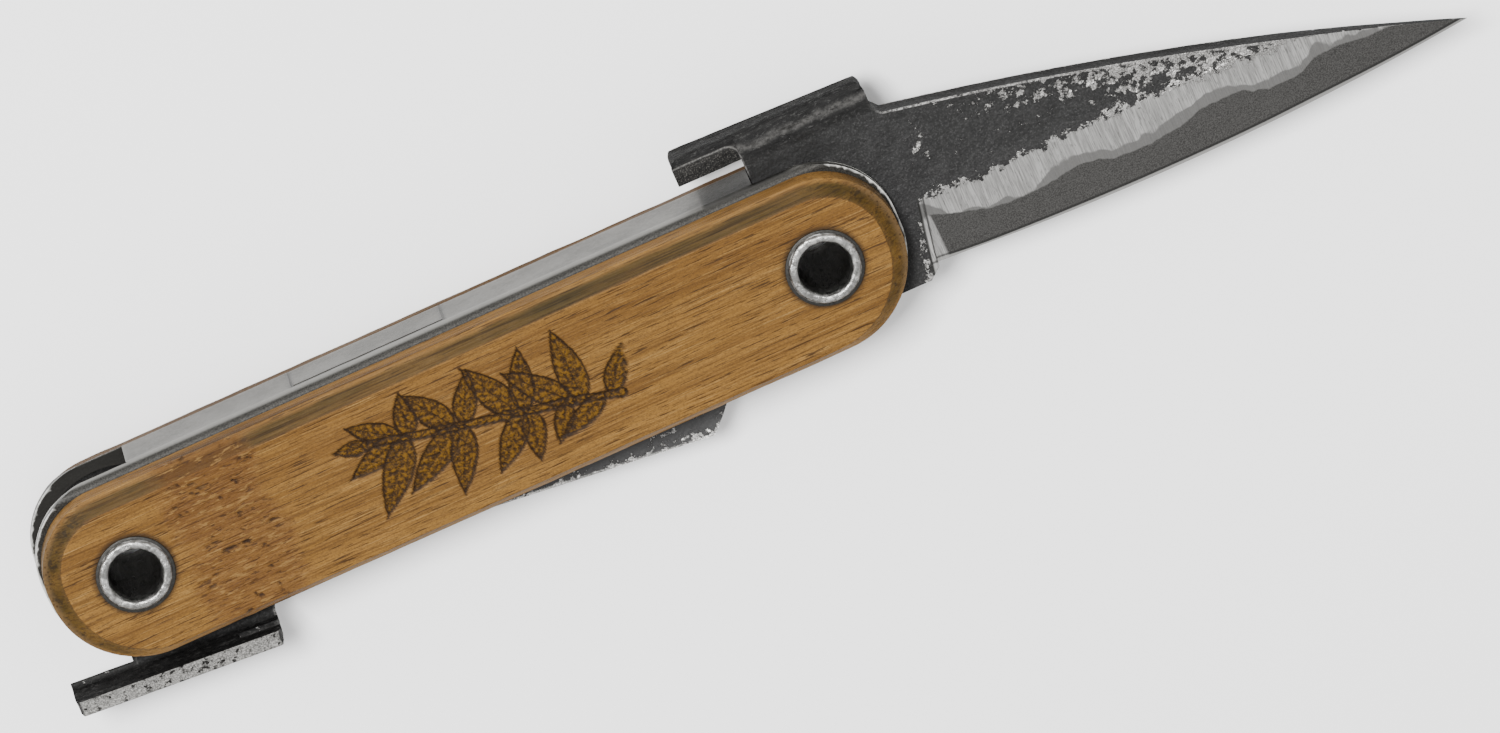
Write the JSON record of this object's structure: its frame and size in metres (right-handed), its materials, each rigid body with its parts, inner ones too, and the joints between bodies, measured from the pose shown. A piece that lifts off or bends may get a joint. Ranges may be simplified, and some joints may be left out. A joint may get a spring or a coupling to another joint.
{
  "type": "folding whittling knife",
  "caption": "Friction folding whittling knife with a long main blade and a blunt-nosed detail blade, thumb levers, a folded steel channel, bamboo scales and hollow eyelet pivots.",
  "frame": {"origin": "centre of the main pivot's hollow eyelet, halfway through the handle's thickness", "axes": "+X along the handle towards the open main blade's point, +Y towards the spine of the handle and blade, +Z out through the front bamboo scale; the knife lies on its back eyelets"},
  "size_m": [0.1685, 0.0319, 0.016],
  "materials": {
    "bamboo": "oiled bamboo, fibre streaks along the handle, darker bevelled edge",
    "channel_steel": "satin sheet steel with bright sheared edges",
    "forged_steel": "black forge scale worn to bare metal, ground two-tone laminated bevel",
    "eyelet_steel": "rolled bright flange, lightly pitted",
    "washer_steel": "dull steel"
  },
  "bodies": {
    "handle": {"handle_channel": "channel_steel", "divider_plate": "channel_steel", "front_scale": "bamboo", "back_scale": "bamboo", "main_eyelet": "eyelet_steel", "detail_eyelet": "eyelet_steel", "main_front_washer": "washer_steel", "main_back_washer": "washer_steel", "detail_front_washer": "washer_steel", "detail_back_washer": "washer_steel", "main_pivot_spacer": "washer_steel", "detail_pivot_spacer": "washer_steel"},
    "main_blade": {"main_blade": "forged_steel"},
    "detail_blade": {"detail_blade": "forged_steel"}
  },
  "joints": [
    {"name": "main_blade_pivot", "type": "hinge", "parent": "handle", "child": "main_blade", "pos_m": [0, 0, 0], "axis": [0, 0, 1], "range_deg": [-180, 0]},
    {"name": "detail_blade_pivot", "type": "hinge", "parent": "handle", "child": "detail_blade", "pos_m": [-0.0816, 0, 0], "axis": [0, 0, 1], "range_deg": [-175.7, 4.3]}
  ]
}
